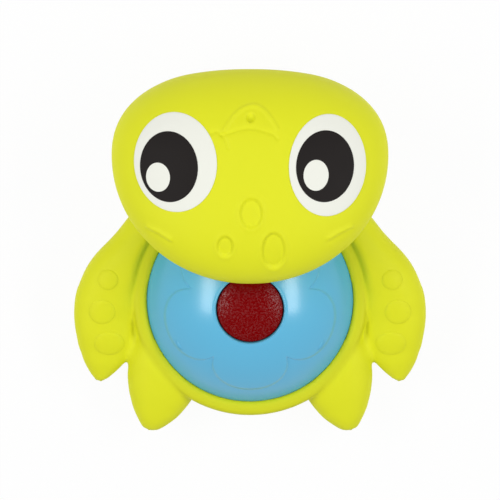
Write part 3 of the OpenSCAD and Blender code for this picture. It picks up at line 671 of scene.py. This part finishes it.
# The top is a ball, the petals stand half a millimetre proud with a sine for their step, the lip
# falls off in a quarter ellipse with a narrow groove, and the edge flares up a little.
raised = petal_h * (0.5 - 0.5 * np.sin(np.clip((r_all - petal) / petal_step, -1, 1) * np.pi / 2))
fall = lip_h * (1 - np.sin(bend)) - 0.45 * bell(lip[:, 0] - hole_r - 0.35, 0.25)
fall = np.concatenate([fall, np.zeros(len(r_all) - len(bend))])
flare = 0.5 * bell(dome_edge - r_all, 1.7)
z_all = dome_mid + np.sqrt((dome_r + raised) ** 2 - r_all ** 2) - fall[:, None] + flare
top = np.stack([r_all * np.cos(turn), body_y + r_all * np.sin(turn), z_all], axis=-1)
# The underside: the snap edge, the inner ball and the button's collar.
below = rounded([(37.2, 23.62), (37.2, 23.61), (39.8, 23.6), (39.8, 21.8), (35.0, 21.8)], 0.3, 4)
below += [(35.0, 22.5)]
below += [(math.sqrt((dome_r - dome_t) ** 2 - (h - dome_mid) ** 2), h) for h in np.linspace(24.5, 38.9, 9)]
below += [(13.95, 38.9), (13.95, 33.3), (13.65, 33.0), (12.45, 33.0), (hole_r, 33.3)]
grid = np.concatenate([top, revolve(below, around)])
rows = len(grid)
# ABS with a polished mould: a clear even gloss over a solid sky blue. The melt's flow changes
# the gloss and the flatness a little over about 22 mm.
blue_abs, tree, skin = finish("glossy_sky_blue_abs", {
    "Base Color": linear("#58b8e0"), "Roughness": 0.24, "IOR": 1.53,
    "Coat Weight": 0.15, "Coat Roughness": 0.15})
place = node(tree, "ShaderNodeTexCoord")
flow = node(tree, "ShaderNodeTexNoise", {"Scale": 1000 / 22.2, "Detail": 3.0}, [("Vector", place, "Object")])
gloss = node(tree, "ShaderNodeMapRange", {"To Min": 0.20, "To Max": 0.30}, [("Value", flow, "Fac")])
tree.links.new(gloss.outputs["Result"], skin.inputs["Roughness"])
wave = node(tree, "ShaderNodeBump", {"Strength": 0.05, "Distance": 0.0002}, [("Height", flow, "Fac")])
tree.links.new(wave.outputs["Normal"], skin.inputs["Normal"])
dome_faces = [bands(0, rows, around), join(0, (rows - 1) * around, around)]
belly_dome = mesh_piece("belly_dome_cap", grid.reshape(-1, 3), dome_faces, blue_abs)
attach(belly_dome, "toy")
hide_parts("belly_dome")

# Screw bosses
# Three hollow posts under the dome, moulded in one with it, that the tray is screwed to.
boss_r, pilot_r, boss_foot, boss_top, boss_ring = 3.2, 1.2, 13.5, 33.6, 27.0
around = 32
boss_profile = [(pilot_r, boss_foot), (boss_r, boss_foot), (boss_r, boss_top), (pilot_r, boss_top)]
for number in range(3):
    turn = math.radians(90 + 120 * number)
    post = revolve(boss_profile, around) + [boss_ring * math.cos(turn), boss_ring * math.sin(turn), 0.0]
    boss = mesh_piece("dome_screw_boss_%d" % (number + 1), post.reshape(-1, 3),
                      [bands(0, 4, around), join(0, 3 * around, around)], blue_abs)
    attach(boss, "toy")

# Push button
# A domed red cap of ABS that slides in the dome's collar. Its skirt ends in a stop flange and a
# stem in its middle presses the bellows. Its face comes from a spark-eroded mould.
button_r, button_edge, crown_foot, crown_rise = 11.9, 0.5, 41.7, 2.2
profile = rounded([(0.02, 27.5), (4.0, 27.5), (4.0, 40.9), (10.2, 40.2, 1.0), (10.2, 31.6),
                   (13.95, 31.6), (13.95, 33.0), (button_r, 33.0, 0.2)], 0.3, 4)
flat_r = button_r - button_edge
profile += [(flat_r + button_edge * math.cos(a), crown_foot - button_edge + button_edge * math.sin(a))
            for a in np.linspace(0, np.pi / 2, 9)]
# The crown is a parabola over the cap's radius.
profile += [(flat_r * f, crown_foot + crown_rise * (1 - f * f)) for f in np.linspace(0.97, 0.002, 24)]
# Red ABS with the pits of spark erosion, which are finer in the mould and drawn 0.6 mm wide so
# that they show. Their peaks catch the light and their floors stay dull.
red_abs, tree, skin = finish("grained_red_abs", {
    "Base Color": linear("#7a0103"), "Roughness": 0.22, "IOR": 1.5})
place = node(tree, "ShaderNodeTexCoord")
spark = node(tree, "ShaderNodeTexNoise", {"Scale": 1000 / 0.5882, "Detail": 3.0, "Roughness": 0.6},
             [("Vector", place, "Object")])
bump = node(tree, "ShaderNodeBump", {"Strength": 0.4, "Distance": 0.0002}, [("Height", spark, "Fac")])
peaks = node(tree, "ShaderNodeMapRange", {"From Min": 0.47, "From Max": 0.64, "To Min": 0.02, "To Max": 0.34},
             [("Value", spark, "Fac")])
tree.links.new(peaks.outputs["Result"], skin.inputs["Specular IOR Level"])
tree.links.new(bump.outputs["Normal"], skin.inputs["Normal"])
points = revolve(profile, 192 // fine)
rows, around = points.shape[:2]
belly_button = mesh_piece("belly_button_cap", points.reshape(-1, 3), [bands(0, rows, around)], red_abs)
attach(belly_button, "button")
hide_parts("belly_button")

# Bellows
# A blow-moulded sack of thin natural polyethylene with three round folds, open below through a
# neck that holds the reed. The button squeezes it to three quarters of its height; here it is
# drawn at rest, at full height.
sack_t, fold_r, fold_deep, fold_foot, fold_top = 0.8, 8.6, 2.4, 15.1, 25.9
fold = np.linspace(0, 3, 61)
# Each fold is one cosine wave of the radius.
radius = fold_r + fold_deep * (0.5 - 0.5 * np.cos(2 * np.pi * fold))
height = fold_foot + (fold_top - fold_foot) * fold / 3
outer_wall = list(zip(radius, height))
inner_wall = [(r - sack_t, h) for r, h in outer_wall[::-1]]
profile = [(4.8, 8.5), (5.6, 8.5), (5.6, 13.3), (8.3, 13.6), (8.6, 14.3)] + outer_wall
profile += [(8.5, 26.9), (8.0, 27.4), (0.02, 27.45), (0.02, 26.7), (7.4, 26.7), (7.8, 26.2)] + inner_wall
profile += [(7.7, 14.6), (4.9, 14.4), (4.8, 14.0)]
points = revolve(profile, 144 // fine)
rows, around = points.shape[:2]
# Unpigmented polyethylene: milky and waxy, with a blown skin that is uneven over about 2.5 mm.
milky_pe, tree, skin = finish("natural_polyethylene", {
    "Base Color": linear("#e9e6dc"), "Roughness": 0.38, "IOR": 1.51, "Subsurface Weight": 0.5,
    "Subsurface Radius": (0.002, 0.002, 0.0018), "Subsurface Scale": 1.0})
place = node(tree, "ShaderNodeTexCoord")
haze = node(tree, "ShaderNodeTexNoise", {"Scale": 1000 / 2.5, "Detail": 2.0}, [("Vector", place, "Object")])
bump = node(tree, "ShaderNodeBump", {"Strength": 0.2, "Distance": 0.0001}, [("Height", haze, "Fac")])
tree.links.new(bump.outputs["Normal"], skin.inputs["Normal"])
sack_faces = [bands(0, rows, around), join(0, (rows - 1) * around, around)]
bellows = mesh_piece("squeaker_bellows_sack", points.reshape(-1, 3), sack_faces, milky_pe)
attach(bellows, "toy")
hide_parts("squeaker_bellows")
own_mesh(bellows)

# Reed, tray and screws
# The squeaker's reed is a half-round plastic seat in a sleeve with a thin brass tongue. The tray
# is moulded polypropylene, held by three plated screws. Their shapes are the CAD's own.
# Moulded acetal: white and slightly waxy, its gloss uneven over about 1.4 mm.
reed_plastic, tree, skin = finish("white_acetal", {
    "Base Color": linear("#efece2"), "Roughness": 0.32, "IOR": 1.48})
place = node(tree, "ShaderNodeTexCoord")
haze = node(tree, "ShaderNodeTexNoise", {"Scale": 1000 / 1.43, "Detail": 2.0}, [("Vector", place, "Object")])
spread = node(tree, "ShaderNodeMapRange", {"To Min": 0.27, "To Max": 0.38}, [("Value", haze, "Fac")])
tree.links.new(spread.outputs["Result"], skin.inputs["Roughness"])
# Cold-rolled brass strip: fine rolling lines 0.11 mm apart and 2.5 mm long.
reed_brass, tree, skin = finish("rolled_brass", {
    "Base Color": linear("#d6b25e"), "Metallic": 1.0, "Roughness": 0.25})
place = node(tree, "ShaderNodeTexCoord")
lines = node(tree, "ShaderNodeMapping", {"Scale": (1000 / 0.111, 1000 / 0.111, 1000 / 2.5)},
             [("Vector", place, "Object")])
rolled = node(tree, "ShaderNodeTexNoise", {"Scale": 1.0, "Detail": 2.0}, [("Vector", lines, "Vector")])
bump = node(tree, "ShaderNodeBump", {"Strength": 0.15, "Distance": 0.00002}, [("Height", rolled, "Fac")])
tree.links.new(bump.outputs["Normal"], skin.inputs["Normal"])
# Unpigmented polypropylene from a lightly etched mould: dull, with a grain of 0.6 mm.
tray_plastic, tree, skin = finish("natural_polypropylene", {
    "Base Color": linear("#e6e7e2"), "Roughness": 0.45, "IOR": 1.49})
place = node(tree, "ShaderNodeTexCoord")
texture = node(tree, "ShaderNodeTexNoise", {"Scale": 1000 / 0.625, "Detail": 2.0},
               [("Vector", place, "Object")])
bump = node(tree, "ShaderNodeBump", {"Strength": 0.2, "Distance": 0.00005}, [("Height", texture, "Fac")])
tree.links.new(bump.outputs["Normal"], skin.inputs["Normal"])
# Bright zinc plating: a metal sheen whose sharpness changes over about 1.1 mm.
screw_steel, tree, skin = finish("zinc_plated_steel", {
    "Base Color": linear("#b9bcc2"), "Metallic": 1.0, "Roughness": 0.3})
place = node(tree, "ShaderNodeTexCoord")
plate = node(tree, "ShaderNodeTexNoise", {"Scale": 1000 / 1.11, "Detail": 3.0}, [("Vector", place, "Object")])
spread = node(tree, "ShaderNodeMapRange", {"To Min": 0.22, "To Max": 0.42}, [("Value", plate, "Fac")])
tree.links.new(spread.outputs["Result"], skin.inputs["Roughness"])
finishes = {"reed_sleeve": reed_plastic, "reed_shallot": reed_plastic, "reed_tongue": reed_brass,
            "squeaker_tray": tray_plastic, "tray_screws": screw_steel}
for name, material in finishes.items():
    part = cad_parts[name]
    if not part.material_slots:
        part.data.materials.append(material)
    for holder in part.material_slots:
        holder.material = material


# Table and light
# A white table under the toy, two tall softboxes left and right of the camera and a white room.
# The camera, mirrors and clear plastic see the room as plain white and the table as nearly so,
# which leaves the toy's soft shadow. The room lights the toy with less than it shows.
def looked_at(tree):
    """One for rays from the camera and for glossy and transmission rays, and nought for the rest."""
    path = node(tree, "ShaderNodeLightPath")
    seen = node(tree, "ShaderNodeMath", operation="MAXIMUM",
                feeds=[(0, path, "Is Camera Ray"), (1, path, "Is Glossy Ray")])
    return node(tree, "ShaderNodeMath", operation="MAXIMUM",
                feeds=[(0, seen, 0), (1, path, "Is Transmission Ray")])


table_half, table_glow, room_light = 3.0, 0.95, 0.38
floor_mesh = bpy.data.meshes.new("table_top")
corners = [(x * table_half, y * table_half, 0) for x, y in ((-1, -1), (1, -1), (1, 1), (-1, 1))]
floor_mesh.from_pydata(corners, [], [(0, 1, 2, 3)])
floor = bpy.data.objects.new("table_top", floor_mesh)
bpy.context.scene.collection.objects.link(floor)
white_table = bpy.data.materials.new("white_table")
white_table.use_nodes = True
tree = white_table.node_tree
tree.nodes.clear()
matt = node(tree, "ShaderNodeBsdfDiffuse", {"Color": linear("#f2f2f2")})
glow = node(tree, "ShaderNodeEmission", {"Strength": 1.0})
part_seen = node(tree, "ShaderNodeMath", {1: table_glow}, [(0, looked_at(tree), 0)], operation="MULTIPLY")
mix = node(tree, "ShaderNodeMixShader", feeds=[("Fac", part_seen, 0), (1, matt, 0), (2, glow, 0)])
node(tree, "ShaderNodeOutputMaterial", feeds=[("Surface", mix, 0)])
floor_mesh.materials.append(white_table)

lamp_reach, lamp_y, lamp_z, lamp_turn = 0.9, 0.14, 0.03, math.radians(40.0)
for side in (-1, 1):
    lamp = bpy.data.lights.new("softbox", "AREA")
    lamp.shape = "RECTANGLE"
    lamp.size = 0.2
    lamp.size_y = 0.75
    lamp.energy = 3.65
    box = bpy.data.objects.new("softbox", lamp)
    bpy.context.scene.collection.objects.link(box)
    turn = lamp_turn * side
    box.location = (lamp_reach * math.sin(turn), lamp_y, lamp_z + lamp_reach * math.cos(turn))
    box.rotation_euler = (0.0, turn, 0.0)

room = bpy.data.worlds.new("white_room")
room.use_nodes = True
tree = room.node_tree
tree.nodes.clear()
level = node(tree, "ShaderNodeMapRange", {"To Min": room_light, "To Max": 1.0},
             [("Value", looked_at(tree), 0)])
sky = node(tree, "ShaderNodeBackground", {"Color": (1.0, 1.0, 1.0, 1.0)}, [("Strength", level, "Result")])
node(tree, "ShaderNodeOutputWorld", feeds=[("Surface", sky, 0)])
bpy.context.scene.world = room
